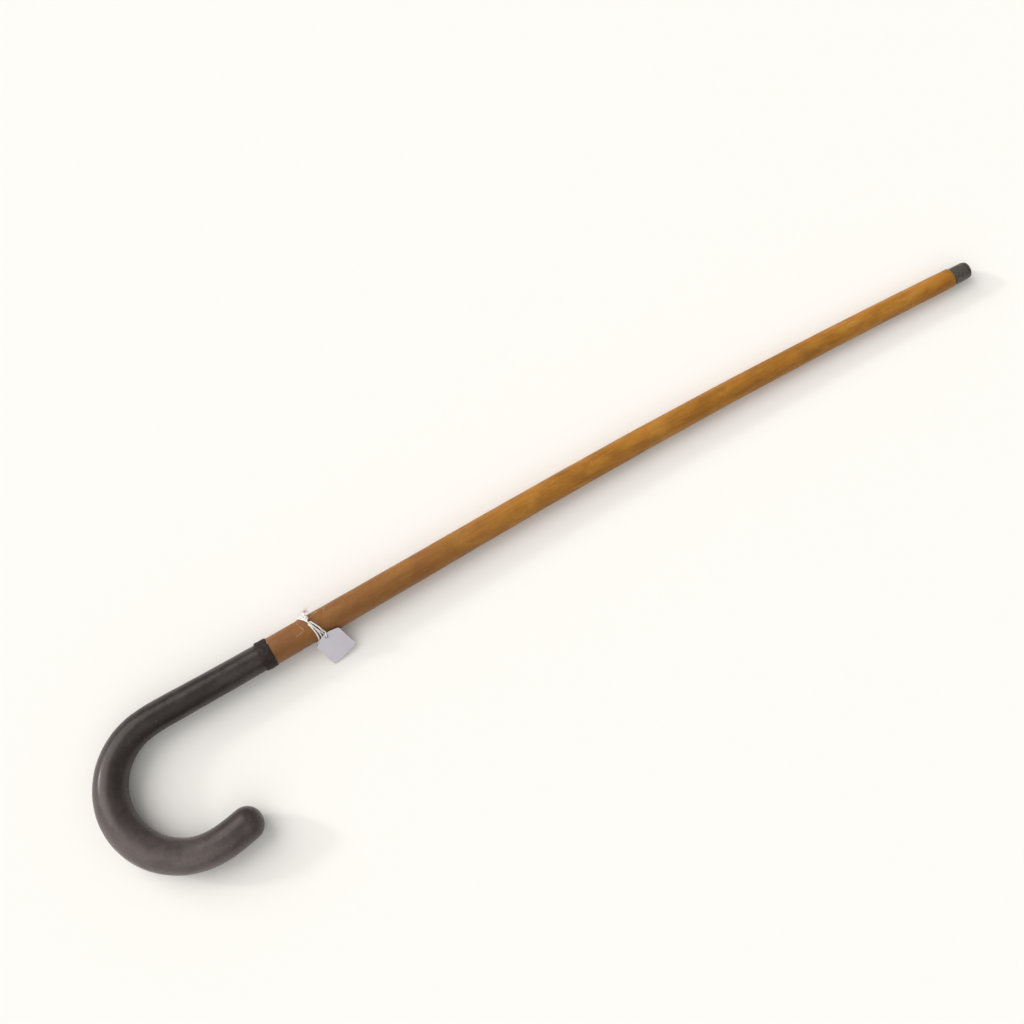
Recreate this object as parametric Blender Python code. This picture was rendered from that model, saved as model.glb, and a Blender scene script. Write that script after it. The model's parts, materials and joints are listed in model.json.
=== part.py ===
"""Crook-handled walking stick: a tapered wooden shaft, a leather-covered crook, a metal
ferrule, and a blank paper tag on a loop of cotton string.  It lies on its side.

Metres, +Z up.  Every piece of the stick is placed by its distance along one centreline,
which starts at the ferrule's end face and runs up the shaft and round the crook.
"""

import math

import bmesh
import bpy
import numpy as np
from mathutils import Matrix, Vector

# ---------------------------------------------------------------------------
# Driving dimensions.  "AT" and "END" are distances along the centreline.
# ---------------------------------------------------------------------------
GAP = 0.0003                # left between any two pieces that touch

# Centreline
SHAFT_STATIONS = (0.0, 0.390, 0.780)
SHAFT_CURVATURE = (0.12, 0.15, -0.20)    # the stick's natural bow, 1/m
BEND_END = 0.812            # by here the crook has its full curvature
CROOK_RADIUS = 0.0559
CROOK_OPENS = 0.965         # from here its curvature falls evenly to the nose's
NOSE_CURVATURE = -6.0
NOSE_END = 1.013

# Shaft
SHAFT_R_TIP = 0.0086
SHAFT_R_TOP = 0.0116
COLLAR_AT = 0.690           # shaft and handle core meet here, under the leather's edge

# Ferrule
FERRULE_TOP = 0.0180
FERRULE_R = 0.0078
FERRULE_WALL = 0.0011
TIP_FACE_R = 0.0050
TIP_RIM_R = 0.0075
TIP_EDGE = 0.0022           # height of the tip's rounded edge
TIP_RIM_END = 0.0030
TIP_PLUG_END = 0.0075
PIN_AT = 0.0125
PIN_R = 0.0007
PIN_HEAD_R = 0.0012
PIN_HEAD = 0.0004
PIN_LENGTH = 0.0040
PIN_ANGLE = math.radians(-35)

# Handle
LEATHER = 0.0013            # thickness of the leather
LEATHER_STATIONS = (0.688, 0.750, 0.814, 0.860, 0.905, 0.950, 1.013)
LEATHER_R = (0.0113, 0.0117, 0.0125, 0.0138, 0.0147, 0.0141, 0.0137)
DOME_START = 1.000
COVER_TURN = math.radians(54)   # how far round the dome the cover goes
PATCH_TURN = math.radians(57)   # and where the patch over the dome's middle starts
DOWEL_R = 0.0040
DOWEL_HALF = 0.0300
BAND_WIDTH = 0.0095
BAND_THICKNESS = 0.0008
SEAM_START = 0.703
SEAM_END = 0.998
SEAM_THREAD_R = 0.0004

# String and tag
STRING_AT = 0.655
STRING_R = 0.0006
CROSSING_ANGLE = 68.0       # degrees from +Y up towards +Z, round the shaft
LOOP_SLANT = (-0.0006, -0.0036, 0.0026)    # along the shaft: middle, cosine and sine parts
LOOP_APART = 0.00078        # half the distance between the two turns at the crossing
LOOP_SPREAD = 0.0012        # and what is added to it on the opposite side
SWAP_START = 112.0          # the first turn crosses to the other side between these two angles
SWAP_END = 38.0
SWAP_LIFT = 0.0011
KNOT_R = 0.0012
KNOT_AT = 0.0016            # along the shaft from the crossing, at its start
KNOT_DRIFT = 0.0004         # and how far it runs back by its end
KNOT_START = 60.0
KNOT_END = 31.0
KNOT_RISE = 0.0008          # how much further off the shaft its end stands than its start
TAG_WIDTH = 0.0238
TAG_LENGTH = 0.0265
TAG_THICKNESS = 0.0004
TAG_CLIP_ACROSS = 0.0086    # how much of the hole end's corners is cut off, across the card
TAG_CLIP_DOWN = 0.0042      # and down its sides
TAG_CORNER = 0.0016         # how far from each corner its rounding starts
TAG_HOLE_R = 0.0015
TAG_HOLE_DOWN = 0.0026      # hole's distance from the card's end edge
TAG_LEAN = math.radians(44)
TAG_TWIST = math.radians(16.5)
TAG_PLANE = 0.0136          # the card's distance from the shaft's centreline
TAG_BELOW = 0.0052          # the hole's distance down the card's slope from its nearest point
TAG_AT = 0.0082             # and along the shaft from the string's crossing

# How the stick lies: turned until the shaft and two places on the crook touch the floor
LIE_TILT_X = math.radians(-0.317)
LIE_TILT_Y = math.radians(0.391)

SIDES = 20
STEP = 0.0005               # spacing of the stored centreline points

# name: (colour, roughness, metallic)
MATERIALS = {
    "varnished_wood": ((0.30, 0.12, 0.035, 1), 0.35, 0.0),
    "bare_wood": ((0.45, 0.28, 0.14, 1), 0.7, 0.0),
    "dark_leather": ((0.040, 0.030, 0.028, 1), 0.5, 0.0),
    "waxed_thread": ((0.030, 0.022, 0.018, 1), 0.6, 0.0),
    "dull_metal": ((0.085, 0.075, 0.058, 1), 0.5, 0.8),
    "steel": ((0.35, 0.34, 0.32, 1), 0.4, 1.0),
    "cotton": ((0.85, 0.82, 0.80, 1), 0.9, 0.0),
    "card": ((0.78, 0.76, 0.82, 1), 0.8, 0.0),
}


# ---------------------------------------------------------------------------
# Centreline
# ---------------------------------------------------------------------------
def trace_centreline():
    """Distances, points and headings of the centreline in the stick's own XY plane."""
    distances = np.arange(-0.002, NOSE_END + 0.002, STEP)
    curvature = np.interp(
        distances,
        SHAFT_STATIONS + (BEND_END, CROOK_OPENS, NOSE_END),
        SHAFT_CURVATURE + (1 / CROOK_RADIUS, 1 / CROOK_RADIUS, NOSE_CURVATURE),
    )
    turned = np.concatenate(([0.0], np.cumsum((curvature[1:] + curvature[:-1]) / 2 * STEP)))
    heading = math.pi + turned
    middle = (heading[1:] + heading[:-1]) / 2
    x = np.concatenate(([0.0], np.cumsum(np.cos(middle) * STEP)))
    y = np.concatenate(([0.0], np.cumsum(np.sin(middle) * STEP)))
    start = np.array([np.interp(0.0, distances, x), np.interp(0.0, distances, y)])
    bend = np.array([np.interp(SHAFT_STATIONS[2], distances, v) for v in (x, y)])
    swing = math.pi - math.atan2(*(bend - start)[::-1])   # puts the bend's start on the X axis
    x, y = x - start[0], y - start[1]
    points = np.column_stack((x * math.cos(swing) - y * math.sin(swing),
                              x * math.sin(swing) + y * math.cos(swing)))
    return distances, points, heading + swing


DISTANCES, POINTS, HEADINGS = trace_centreline()


def centre(at):
    """Point of the centreline at a distance from the tip."""
    return Vector((np.interp(at, DISTANCES, POINTS[:, 0]),
                   np.interp(at, DISTANCES, POINTS[:, 1]), 0.0))


def axes(at):
    """Direction up the stick, and the direction to the inside of the crook's bend."""
    heading = np.interp(at, DISTANCES, HEADINGS)
    along = Vector((math.cos(heading), math.sin(heading), 0.0))
    inward = Vector((-math.sin(heading), math.cos(heading), 0.0))
    return along, inward


def leather_radius(at):
    """Outer radius of the leather, a smooth curve through its stations."""
    stations, radii = np.array(LEATHER_STATIONS), np.array(LEATHER_R)
    slopes = np.gradient(radii, stations)
    i = int(np.clip(np.searchsorted(stations, at) - 1, 0, len(stations) - 2))
    span = stations[i + 1] - stations[i]
    t = (at - stations[i]) / span
    return float((2 * t**3 - 3 * t**2 + 1) * radii[i] + (t**3 - 2 * t**2 + t) * span * slopes[i]
                 + (3 * t**2 - 2 * t**3) * radii[i + 1] + (t**3 - t**2) * span * slopes[i + 1])


def shaft_radius(at):
    """Outer radius of the shaft, which tapers evenly."""
    share = (at - FERRULE_TOP) / (COLLAR_AT - FERRULE_TOP)
    return SHAFT_R_TIP + (SHAFT_R_TOP - SHAFT_R_TIP) * share


# ---------------------------------------------------------------------------
# Building tools
# ---------------------------------------------------------------------------
def clear_scene():
    for thing in list(bpy.data.objects):
        bpy.data.objects.remove(thing, do_unlink=True)


def material(name):
    """The named Principled material, made once."""
    made = bpy.data.materials.get(name)
    if made:
        return made
    colour, roughness, metallic = MATERIALS[name]
    made = bpy.data.materials.new(name)
    made.use_nodes = True
    shader = made.node_tree.nodes["Principled BSDF"]
    shader.inputs["Base Color"].default_value = colour
    shader.inputs["Roughness"].default_value = roughness
    shader.inputs["Metallic"].default_value = metallic
    made.diffuse_color = colour
    return made


def empty(name, parent=None):
    thing = bpy.data.objects.new(name, None)
    thing.empty_display_size = 0.01
    bpy.context.collection.objects.link(thing)
    thing.parent = parent
    return thing


def add_mesh(name, bm, finish, parent, origin=Vector((0, 0, 0))):
    """An object made from bm, whose points are in the parent's frame."""
    bmesh.ops.translate(bm, verts=bm.verts, vec=-origin)
    bmesh.ops.recalc_face_normals(bm, faces=bm.faces)
    mesh = bpy.data.meshes.new(name)
    bm.to_mesh(mesh)
    bm.free()
    mesh.shade_smooth()
    mesh.set_sharp_from_angle(angle=math.radians(40))
    mesh.materials.append(material(finish))
    thing = bpy.data.objects.new(name, mesh)
    bpy.context.collection.objects.link(thing)
    thing.parent = parent
    thing.location = origin
    return thing


def add_turned(name, profile, finish, parent, ring=False, sides=SIDES):
    """A piece turned round the centreline from (distance, radius) points.

    A radius of 0 closes an end.  With ring=True the profile is a loop, as a tube's is.
    """
    bm = bmesh.new()
    rows = []
    for at, radius in profile:
        along, inward = axes(at)
        if radius == 0:
            rows.append([bm.verts.new(centre(at))])
            continue
        row = []
        for i in range(sides):
            angle = 2 * math.pi * i / sides
            side = inward * math.cos(angle) + Vector((0, 0, math.sin(angle)))
            row.append(bm.verts.new(centre(at) + side * radius))
        rows.append(row)
    pairs = list(zip(rows, rows[1:]))
    if ring:
        pairs.append((rows[-1], rows[0]))
    for one, two in pairs:
        for i in range(sides):
            j = (i + 1) % sides
            if len(one) == 1:
                bm.faces.new((one[0], two[i], two[j]))
            elif len(two) == 1:
                bm.faces.new((one[i], one[j], two[0]))
            else:
                bm.faces.new((one[i], one[j], two[j], two[i]))
    return add_mesh(name, bm, finish, parent, centre(profile[0][0]))


def along(start, end, count, radius):
    """Profile points from start to end, with the radius given by a function."""
    return [(float(at), radius(float(at))) for at in np.linspace(start, end, count)]


def rounded(start, start_r, end, end_r, count=5, first=0.0, last=math.pi / 2):
    """Profile points of a quarter ellipse from (start, start_r) to (end, end_r), or of the
    part of it between two turns."""
    return [(start + (end - start) * math.sin(turn), end_r + (start_r - end_r) * math.cos(turn))
            for turn in np.linspace(first, last, count)]


def smooth_path(points, count):
    """Even points along a Catmull-Rom curve through the given ones."""
    points = [Vector(p) for p in points]
    padded = [2 * points[0] - points[1]] + points + [2 * points[-1] - points[-2]]
    dense = []
    for a, b, c, d in zip(padded, padded[1:], padded[2:], padded[3:]):
        for t in np.linspace(0, 1, 24, endpoint=False):
            dense.append(0.5 * ((2 * b) + (c - a) * t + (2 * a - 5 * b + 4 * c - d) * t**2
                                + (3 * b - a - 3 * c + d) * t**3))
    dense.append(points[-1])
    walked = np.concatenate(([0.0], np.cumsum([(q - p).length for p, q in zip(dense, dense[1:])])))
    spots = np.linspace(0, walked[-1], count)
    coordinates = [np.interp(spots, walked, [p[k] for p in dense]) for k in range(3)]
    return [Vector(p) for p in zip(*coordinates)]


def add_cord(name, points, radius, finish, parent):
    """A round cord along the points: a bevelled poly curve with filled ends."""
    curve = bpy.data.curves.new(name, "CURVE")
    curve.dimensions = "3D"
    curve.bevel_depth = radius
    curve.bevel_resolution = 2
    curve.use_fill_caps = True
    curve.materials.append(material(finish))
    spline = curve.splines.new("POLY")
    spline.points.add(len(points) - 1)
    for spot, point in zip(spline.points, points):
        spot.co = (*point, 1.0)
    thing = bpy.data.objects.new(name, curve)
    bpy.context.collection.objects.link(thing)
    thing.parent = parent
    return thing


def add_cutter(name, target, bm, parent, matrix):
    """A hidden cutter, which takes its shape out of the target."""
    cutter = add_mesh(name, bm, "bare_wood", parent)
    cutter.matrix_local = matrix
    cutter.hide_render = True
    cutter.display_type = "WIRE"
    cut = target.modifiers.new(name, "BOOLEAN")
    cut.operation = "DIFFERENCE"
    cut.solver = "EXACT"
    cut.object = cutter


def cylinder(radius, low, high, sides=12):
    """A closed cylinder along Z from low to high."""
    bm = bmesh.new()
    bmesh.ops.create_cone(bm, cap_ends=True, segments=sides, radius1=radius, radius2=radius,
                          depth=high - low, matrix=Matrix.Translation((0, 0, (low + high) / 2)))
    return bm


# ---------------------------------------------------------------------------
# Stick
# ---------------------------------------------------------------------------
def build_shaft(stick):
    tenon = FERRULE_R - FERRULE_WALL - GAP
    bore = DOWEL_R + GAP
    shoulder = FERRULE_TOP + GAP
    profile = [(TIP_PLUG_END + GAP, 0), (TIP_PLUG_END + GAP, tenon), (shoulder, tenon)]
    profile += [(shoulder, SHAFT_R_TIP - 0.0004)]
    profile += along(shoulder + 0.0006, COLLAR_AT - GAP, 20, shaft_radius)
    profile += [(COLLAR_AT - GAP, bore), (COLLAR_AT - DOWEL_HALF - GAP, bore)]
    profile += [(COLLAR_AT - DOWEL_HALF - GAP, 0)]
    return add_turned("shaft", profile, "varnished_wood", stick)


def handle_run(start, radius):
    """Profile points from the shaft's end to the nose, closer together round the bend."""
    bend = SHAFT_STATIONS[2]
    return along(start, bend, 5, radius) + along(bend, DOME_START, 35, radius)[1:]


def dome(depth, count, first=0.0, last=math.pi / 2):
    """Profile points of the nose's dome, a depth below the leather's surface."""
    radius = leather_radius(DOME_START) - depth
    return rounded(DOME_START, radius, NOSE_END - depth, 0.0, count, first, last)


def build_handle_core(stick):
    """The bent wooden core, bored for the dowel, with a domed nose."""
    def radius(at):
        return leather_radius(at) - LEATHER - GAP

    bore = DOWEL_R + GAP
    depth = LEATHER + GAP
    profile = [(COLLAR_AT + DOWEL_HALF, 0), (COLLAR_AT + DOWEL_HALF, bore), (COLLAR_AT, bore)]
    profile += handle_run(COLLAR_AT, radius)
    profile += dome(depth, 8)[1:-1] + [(NOSE_END - depth, 0)]
    return add_turned("handle_core", profile, "bare_wood", stick)


def build_joint_dowel(stick):
    low = COLLAR_AT - DOWEL_HALF
    high = COLLAR_AT + DOWEL_HALF - GAP
    chamfer = 0.001
    profile = [(low, 0), (low, DOWEL_R - chamfer), (low + chamfer, DOWEL_R)]
    profile += [(high - chamfer, DOWEL_R), (high, DOWEL_R - chamfer), (high, 0)]
    return add_turned("joint_dowel", profile, "bare_wood", stick, sides=16)


def build_leather_cover(stick):
    """The leather tube over the core, drawn in over the dome's shoulder."""
    run = handle_run(COLLAR_AT + GAP, leather_radius)
    outside = run + dome(0.0, 7, 0.0, COVER_TURN)[1:]
    inside = dome(LEATHER, 7, 0.0, COVER_TURN)[:0:-1]
    inside += [(at, r - LEATHER) for at, r in reversed(run)]
    return add_turned("leather_cover", outside + inside, "dark_leather", stick, ring=True)


def build_nose_patch(stick):
    """The round leather patch that closes the cover at the nose."""
    outside = dome(0.0, 6, PATCH_TURN)[:-1] + [(NOSE_END, 0)]
    inside = dome(LEATHER, 6, PATCH_TURN)[:-1] + [(NOSE_END - LEATHER, 0)]
    return add_turned("nose_patch", outside[::-1] + inside, "dark_leather", stick)


def build_collar_band(stick):
    """The leather strip bound round the cover's lower edge."""
    low = COLLAR_AT + GAP
    high = COLLAR_AT + BAND_WIDTH
    round_off = 0.0004
    top = leather_radius(high) + GAP
    bottom = leather_radius(low) + GAP
    profile = [(low, bottom), (low, bottom + BAND_THICKNESS - round_off)]
    profile += [(low + round_off, bottom + BAND_THICKNESS)]
    profile += [(high - round_off, top + BAND_THICKNESS)]
    profile += [(high, top + BAND_THICKNESS - round_off), (high, top)]
    return add_turned("collar_band", profile, "dark_leather", stick, ring=True)


def build_seam_thread(stick):
    """The thread of the cover's seam, along the inside of the crook."""
    points = []
    for at in np.linspace(SEAM_START, SEAM_END, 46):
        height = leather_radius(at) + GAP + SEAM_THREAD_R
        points.append(centre(at) + axes(at)[1] * height)
    return add_cord("seam_thread", points, SEAM_THREAD_R, "waxed_thread", stick)


def pin_matrix():
    """Frame of the ferrule's pin: +Z points out of the ferrule."""
    along_stick, inward = axes(PIN_AT)
    out = inward * math.cos(PIN_ANGLE) + Vector((0, 0, math.sin(PIN_ANGLE)))
    across = out.cross(along_stick)
    turn = Matrix((along_stick, across * -1, out)).transposed().to_4x4()
    return Matrix.Translation(centre(PIN_AT)) @ turn


def build_ferrule(stick):
    """The metal tube, its hard tip, and the pin that holds it on the shaft's tenon."""
    inner = FERRULE_R - FERRULE_WALL
    low = TIP_RIM_END + GAP
    rim = 0.0003
    profile = [(low, inner), (low, FERRULE_R - rim), (low + rim, FERRULE_R)]
    profile += [(FERRULE_TOP - rim, FERRULE_R), (FERRULE_TOP, FERRULE_R - rim)]
    profile += [(FERRULE_TOP, inner)]
    ferrule = add_turned("ferrule", profile, "dull_metal", stick, ring=True)

    plug = inner - GAP
    profile = [(0.0, 0)] + rounded(TIP_EDGE, TIP_RIM_R, 0.0, TIP_FACE_R, 5)[::-1]
    profile += [(TIP_RIM_END, TIP_RIM_R), (TIP_RIM_END, plug), (TIP_PLUG_END, plug)]
    profile += [(TIP_PLUG_END, 0)]
    add_turned("ferrule_tip", profile, "steel", stick)

    shaft = bpy.data.objects["shaft"]
    foot = FERRULE_R - PIN_LENGTH
    for target in (ferrule, shaft):
        hole = cylinder(PIN_R + GAP, foot - GAP, FERRULE_R + 0.002)
        add_cutter("pin_hole_in_" + target.name, target, hole, stick, pin_matrix())
    bm = cylinder(PIN_R, foot, FERRULE_R + GAP)
    head = bmesh.ops.create_cone(bm, cap_ends=True, segments=12, radius1=PIN_HEAD_R,
                                 radius2=PIN_HEAD_R * 0.7, depth=PIN_HEAD)
    lift = Vector((0, 0, FERRULE_R + GAP + PIN_HEAD / 2))
    bmesh.ops.translate(bm, verts=head["verts"], vec=lift)
    join_stem_to_head(bm)
    pin = add_mesh("ferrule_pin", bm, "steel", stick)
    pin.matrix_local = pin_matrix()


def join_stem_to_head(bm):
    """Makes one closed body of the pin: its stem's top cap opens into the head's ring."""
    level = FERRULE_R + GAP
    caps = [f for f in bm.faces if all(abs(v.co.z - level) < 1e-6 for v in f.verts)]
    bmesh.ops.delete(bm, geom=caps, context="FACES_ONLY")
    edges = [e for e in bm.edges if e.is_boundary]
    bmesh.ops.bridge_loops(bm, edges=edges)


# ---------------------------------------------------------------------------
# String and tag, in a frame at the shaft's centre: X towards the ferrule, Z up
# ---------------------------------------------------------------------------
def round_shaft(degrees, above, x):
    """Point at an angle round the shaft, a height above its surface, and along it."""
    radius = shaft_radius(STRING_AT) + above
    angle = math.radians(degrees)
    return Vector((x, radius * math.cos(angle), radius * math.sin(angle)))


def tag_matrix():
    """Frame at the tag's hole: X across the card, Y up it to its hole end, Z out of its face."""
    out = Vector((0, -math.sin(TAG_LEAN), math.cos(TAG_LEAN)))
    down = Vector((0, -math.cos(TAG_LEAN), -math.sin(TAG_LEAN)))
    hole = out * TAG_PLANE + down * TAG_BELOW + Vector((TAG_AT, 0, 0))
    lean = Matrix.Rotation(TAG_LEAN, 4, "X")
    twist = Matrix.Rotation(TAG_TWIST, 4, "Z")
    return Matrix.Translation(hole) @ lean @ twist


def on_tag(x, y, z):
    """Point in millimetres from the tag's hole, in the tag's own directions."""
    return tag_matrix() @ (Vector((x, y, z)) / 1000)


def loop_middle(degrees):
    """Where the slanting loop crosses the shaft's side at an angle, along the shaft."""
    middle, cosine, sine = LOOP_SLANT
    angle = math.radians(degrees)
    return middle + cosine * math.cos(angle) + sine * math.sin(angle)


def build_string_loop(pivot):
    """Two turns of string round the shaft.  The first one crosses over to the other side
    where they start, above the ends of both."""
    above = GAP + STRING_R
    first = CROSSING_ANGLE - 4
    last = CROSSING_ANGLE + 14 - 720
    points = []
    for degrees in np.linspace(first, last, 61):
        share = min(max((SWAP_START - 360 - degrees) / (SWAP_START - SWAP_END), 0), 1)
        side = math.cos(math.pi * share)
        spread = (1 - math.cos(math.radians(degrees - CROSSING_ANGLE))) / 2
        x = loop_middle(degrees) + side * (LOOP_APART + LOOP_SPREAD * spread)
        lift = SWAP_LIFT * math.sin(math.pi * share) ** 2
        points.append(round_shaft(degrees, above + lift, x))
    add_cord("string_loop", points, STRING_R, "cotton", pivot)


def build_string_knot(pivot):
    """The knotted ends of the string, standing off the far side of the shaft."""
    low = 2 * GAP + 2 * STRING_R + KNOT_R
    points = []
    for share in np.linspace(0, 1, 9):
        degrees = KNOT_START + (KNOT_END - KNOT_START) * share
        above = low + KNOT_RISE * math.sin(math.pi / 2 * share)
        points.append(round_shaft(degrees, above, KNOT_AT - KNOT_DRIFT * share))
    add_cord("string_knot", points, KNOT_R, "cotton", pivot)


def string_route():
    """Hand-chosen points of the free string: from the crossing, down the near side of the
    shaft, behind the tag's end, out through its hole and back to the crossing."""
    low = GAP + STRING_R
    high = 2 * GAP + 3 * STRING_R
    return [
        round_shaft(76, high + 0.0014, 0.0006),
        round_shaft(86, high + 0.0011, 0.0016),
        round_shaft(97, high + 0.0006, 0.0027),
        round_shaft(108, high + 0.0001, 0.0039),
        round_shaft(117, high - 0.0001, 0.0049),
        round_shaft(126, low + 0.0006, 0.0059),
        round_shaft(134, low + 0.0001, 0.0066),
        on_tag(0.1, 2.7, -1.20),
        on_tag(0.1, 1.3, -1.20),
        on_tag(0.0, 0.3, -0.75),
        on_tag(0.0, -0.1, 0.0),
        on_tag(0.2, 0.3, 0.85),
        on_tag(0.6, 1.5, 1.30),
        on_tag(1.3, 3.0, 1.30),
        on_tag(2.3, 4.6, 1.25),
        round_shaft(124, high + 0.0010, 0.0078),
        round_shaft(113, high + 0.0007, 0.0070),
        round_shaft(102, high + 0.0006, 0.0058),
        round_shaft(91, high + 0.0009, 0.0043),
        round_shaft(80, high + 0.0013, 0.0026),
    ]


def card_outline():
    """Points round the card, measured from its hole, with an even curve across each corner."""
    side = TAG_WIDTH / 2
    top, bottom = TAG_HOLE_DOWN, TAG_HOLE_DOWN - TAG_LENGTH
    corners = [(side, top - TAG_CLIP_DOWN), (side - TAG_CLIP_ACROSS, top)]
    corners += [(TAG_CLIP_ACROSS - side, top), (-side, top - TAG_CLIP_DOWN)]
    corners += [(-side, bottom), (side, bottom)]
    corners = [Vector(corner) for corner in corners]
    outline = []
    for before, corner, after in zip(corners[-1:] + corners, corners, corners[1:] + corners[:1]):
        start = corner + (before - corner).normalized() * TAG_CORNER
        end = corner + (after - corner).normalized() * TAG_CORNER
        for t in np.linspace(0, 1, 5):
            outline.append(start * (1 - t)**2 + corner * 2 * t * (1 - t) + end * t**2)
    return outline


def build_tag(pivot):
    """The blank paper card, with sloping shoulders at its hole end and rounded corners."""
    bm = bmesh.new()
    outline = card_outline()
    face = bm.faces.new([bm.verts.new((*spot, -TAG_THICKNESS / 2)) for spot in outline])
    raised = bmesh.ops.extrude_face_region(bm, geom=[face])["geom"]
    moved = [v for v in raised if isinstance(v, bmesh.types.BMVert)]
    bmesh.ops.translate(bm, verts=moved, vec=(0, 0, TAG_THICKNESS))
    tag = add_mesh("tag_card", bm, "card", pivot)
    tag.matrix_local = tag_matrix()
    hole = cylinder(TAG_HOLE_R, -0.002, 0.002, sides=20)
    add_cutter("tag_hole", tag, hole, pivot, tag_matrix())


def build_string_and_tag(stick):
    """Everything that turns round the shaft on the string's loop."""
    pivot = empty("string_turn_axis", stick)
    up_the_stick, inward = axes(STRING_AT)
    turn = Matrix((-up_the_stick, -inward, Vector((0, 0, 1)))).transposed().to_4x4()
    pivot.matrix_local = Matrix.Translation(centre(STRING_AT)) @ turn
    build_string_loop(pivot)
    build_string_knot(pivot)
    add_cord("tag_string", smooth_path(string_route(), 46), STRING_R, "cotton", pivot)
    build_tag(pivot)


# ---------------------------------------------------------------------------
# Laying the stick down
# ---------------------------------------------------------------------------
def rest_on_floor(stick):
    """Moves the stick so the middle of its box is over the origin and it touches Z = 0.

    The free string and the tag don't count in the box.
    """
    bpy.context.view_layer.update()
    graph = bpy.context.evaluated_depsgraph_get()
    corners = []
    for thing in bpy.data.objects:
        loose = thing.name in ("tag_string", "tag_card")
        if thing.type not in ("MESH", "CURVE") or thing.hide_render or loose:
            continue
        shown = thing.evaluated_get(graph)
        mesh = shown.to_mesh()
        corners += [thing.matrix_world @ v.co for v in mesh.vertices]
        shown.to_mesh_clear()
    low = Vector([min(c[k] for c in corners) for k in range(3)])
    high = Vector([max(c[k] for c in corners) for k in range(3)])
    stick.location -= Vector(((low.x + high.x) / 2, (low.y + high.y) / 2, low.z))


def main():
    clear_scene()
    stick = empty("stick")
    stick.rotation_euler = (LIE_TILT_X, LIE_TILT_Y, 0)
    build_shaft(stick)
    build_handle_core(stick)
    build_joint_dowel(stick)
    build_leather_cover(stick)
    build_nose_patch(stick)
    build_collar_band(stick)
    build_seam_thread(stick)
    build_ferrule(stick)
    build_string_and_tag(stick)
    rest_on_floor(stick)


main()
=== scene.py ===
"""Looks of the crook-handled walking stick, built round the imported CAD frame.

Metres, +Z up, in the frame of the CAD.  The stick's pieces are swept along its centreline,
as in the CAD, but finely and with the small unevenness of handmade leather and wood.
"""
import json
import math

import bmesh
import bpy
import numpy as np
from mathutils import Euler, Matrix, Vector, noise


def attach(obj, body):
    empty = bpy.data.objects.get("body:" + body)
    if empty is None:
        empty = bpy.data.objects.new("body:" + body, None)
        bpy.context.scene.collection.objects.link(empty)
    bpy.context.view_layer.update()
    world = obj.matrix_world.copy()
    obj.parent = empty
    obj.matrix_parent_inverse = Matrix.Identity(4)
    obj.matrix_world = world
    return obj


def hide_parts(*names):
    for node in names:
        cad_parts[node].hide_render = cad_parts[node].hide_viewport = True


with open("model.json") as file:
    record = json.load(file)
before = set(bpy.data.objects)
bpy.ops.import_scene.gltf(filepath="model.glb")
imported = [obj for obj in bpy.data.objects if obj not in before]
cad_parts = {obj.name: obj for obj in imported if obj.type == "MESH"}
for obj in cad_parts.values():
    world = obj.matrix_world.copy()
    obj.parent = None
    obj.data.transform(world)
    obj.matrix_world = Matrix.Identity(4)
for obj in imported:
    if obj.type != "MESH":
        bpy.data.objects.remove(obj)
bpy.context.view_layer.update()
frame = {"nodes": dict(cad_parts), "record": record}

STICK, TAG = "stick", "tag"  # the two CAD bodies
GAP = 0.0003                 # left between any two pieces that touch
INSET = 0.0001               # how far uneven surfaces start inside the CAD's, to stay within it
EDGE_R = 0.0004              # rounding of the ferrule's edges and of the leather's cut edge

# The stick's centreline.  Every place on the stick is a distance along it from the ferrule's end.
SHAFT_STATIONS = (0.0, 0.390, 0.780)
SHAFT_CURVATURE = (0.12, 0.15, -0.20)    # the stick's natural bow, 1/m
BEND_END = 0.812             # by here the crook has its full curvature
CROOK_RADIUS = 0.0559
CROOK_OPENS = 0.965          # from here its curvature falls evenly to the nose's
NOSE_CURVATURE = -6.0
NOSE_END = 1.013
STEP = 0.0005                # spacing of the stored centreline points
LIE_TILT_X = math.radians(-0.317)        # how the stick lies on its ferrule and crook
LIE_TILT_Y = math.radians(0.391)

# Shaft and ferrule
SHAFT_R_TIP = 0.0086
SHAFT_R_TOP = 0.0116
COLLAR_AT = 0.690            # shaft and handle meet here
FERRULE_TOP = 0.0180
FERRULE_R = 0.0078
FERRULE_WALL = 0.0011
TIP_FACE_R = 0.0050
TIP_RIM_R = 0.0075
TIP_EDGE = 0.0022            # height of the tip's rounded edge
TIP_RIM_END = 0.0030
TIP_PLUG_END = 0.0075
PIN_AT = 0.0125
PIN_R = 0.0007
PIN_HEAD_R = 0.0012
PIN_ANGLE = math.radians(-35)

# Leather handle
LEATHER = 0.0013             # thickness
LEATHER_STATIONS = (0.688, 0.750, 0.814, 0.860, 0.905, 0.950, 1.013)
LEATHER_R = (0.0113, 0.0117, 0.0125, 0.0138, 0.0147, 0.0141, 0.0137)
DOME_START = 1.000
COVER_TURN = math.radians(54.5)          # how far round the dome the cover goes
PATCH_TURN = math.radians(56)            # and where the patch over the dome's middle starts
BAND_WIDTH = 0.0095
BAND_THICKNESS = 0.0008
SEAM_START = 0.703
SEAM_END = 0.998
STITCH_PITCH = 0.0036
STITCH_HALF_WIDTH = 0.0011   # half a stitch's length across the seam
STITCH_SLANT = 0.0007        # and along it
STITCH_R = 0.00024

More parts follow.
